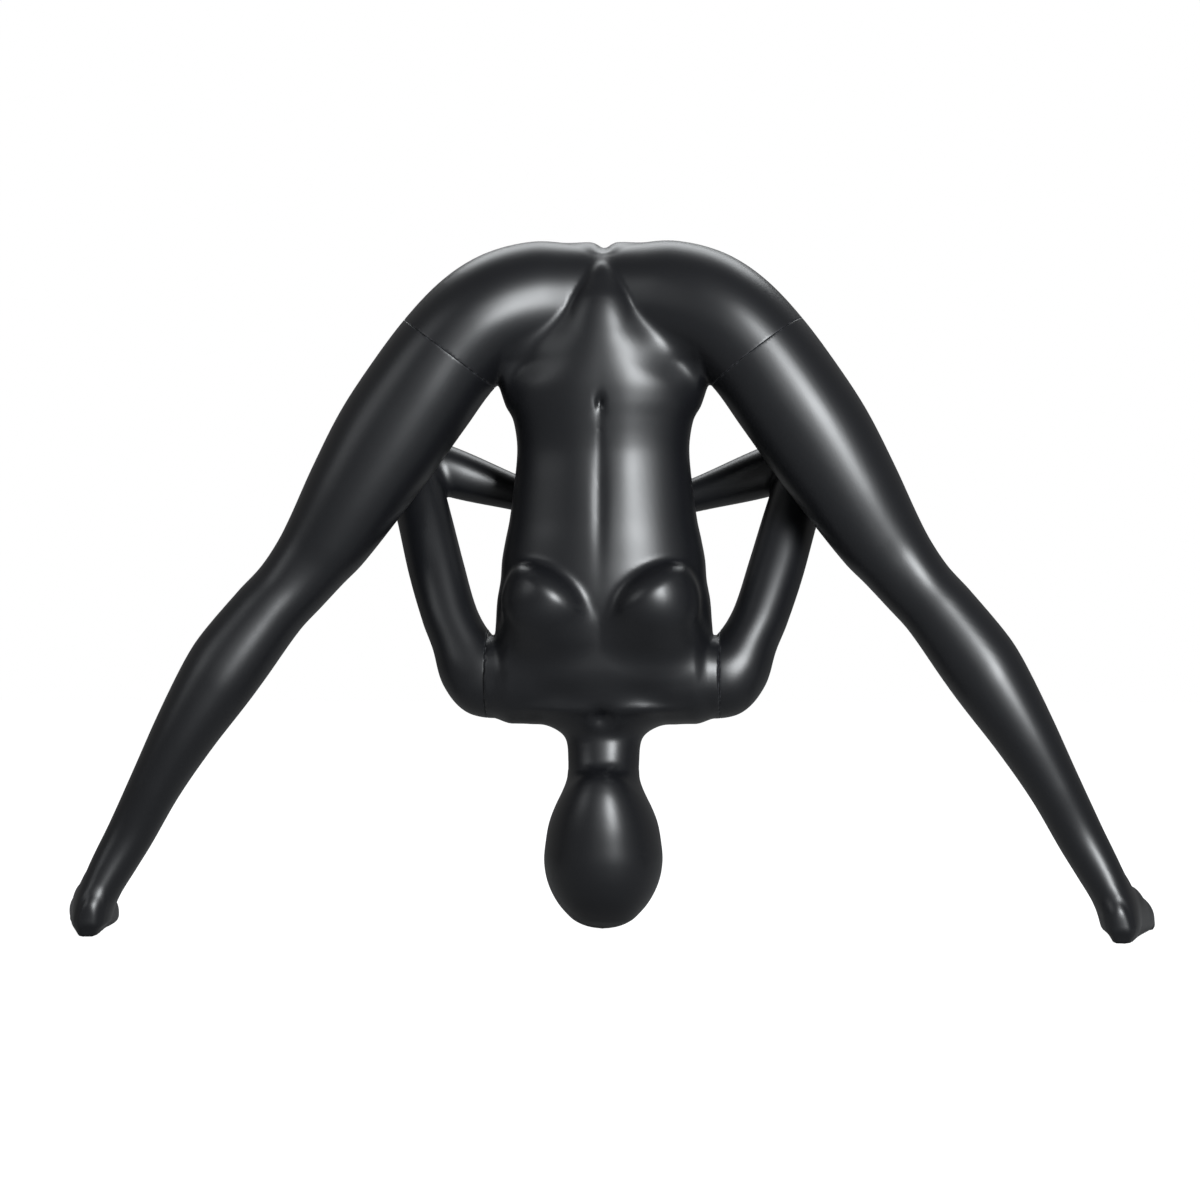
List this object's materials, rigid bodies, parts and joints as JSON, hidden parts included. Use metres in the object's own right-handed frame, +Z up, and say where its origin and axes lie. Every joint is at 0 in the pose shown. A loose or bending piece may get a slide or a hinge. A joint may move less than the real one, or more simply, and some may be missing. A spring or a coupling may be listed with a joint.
{
  "type": "display mannequin",
  "caption": "Black full-body display mannequin in a wide-legged forward bend, head down, arms folded behind the back, with twist-off legs and arms.",
  "frame": {"origin": "on the floor, at the middle of the bounding box's underside, between the two feet and the head", "axes": "+Z up; +Y the way the toes point, away from the belly; +X to the mannequin's own right hand side"},
  "size_m": [1.4546, 0.3284, 0.8959],
  "materials": {
    "gel_coat": "satin",
    "plywood": "matte",
    "zinc_steel": "satin"
  },
  "bodies": {
    "torso": {"torso_shell": "gel_coat", "thigh_board_left": "plywood", "thigh_socket_left": "zinc_steel", "shoulder_board_left": "plywood", "shoulder_socket_left": "zinc_steel", "thigh_board_right": "plywood", "thigh_socket_right": "zinc_steel", "shoulder_board_right": "plywood", "shoulder_socket_right": "zinc_steel"},
    "leg_left": {"leg_shell_left": "gel_coat", "leg_board_left": "plywood", "leg_stud_left": "zinc_steel"},
    "arm_left": {"arm_shell_left": "gel_coat", "arm_board_left": "plywood", "arm_stud_left": "zinc_steel"},
    "leg_right": {"leg_shell_right": "gel_coat", "leg_board_right": "plywood", "leg_stud_right": "zinc_steel"},
    "arm_right": {"arm_shell_right": "gel_coat", "arm_board_right": "plywood", "arm_stud_right": "zinc_steel"}
  },
  "joints": [
    {"name": "leg_twist_left", "type": "hinge", "parent": "torso", "child": "leg_left", "pos_m": [-0.19903, -0.04922, 0.74856], "axis": [0.6018, 0, 0.7986], "range_deg": [0, 35]},
    {"name": "arm_twist_left", "type": "hinge", "parent": "torso", "child": "arm_left", "pos_m": [-0.151, -0.03417, 0.331], "axis": [-1, 0, 0], "range_deg": [0, 45]},
    {"name": "leg_twist_right", "type": "hinge", "parent": "torso", "child": "leg_right", "pos_m": [0.19903, -0.04922, 0.74856], "axis": [0.6018, 0, -0.7986], "range_deg": [0, 35]},
    {"name": "arm_twist_right", "type": "hinge", "parent": "torso", "child": "arm_right", "pos_m": [0.151, -0.03417, 0.331], "axis": [-1, 0, 0], "range_deg": [0, 45]}
  ]
}
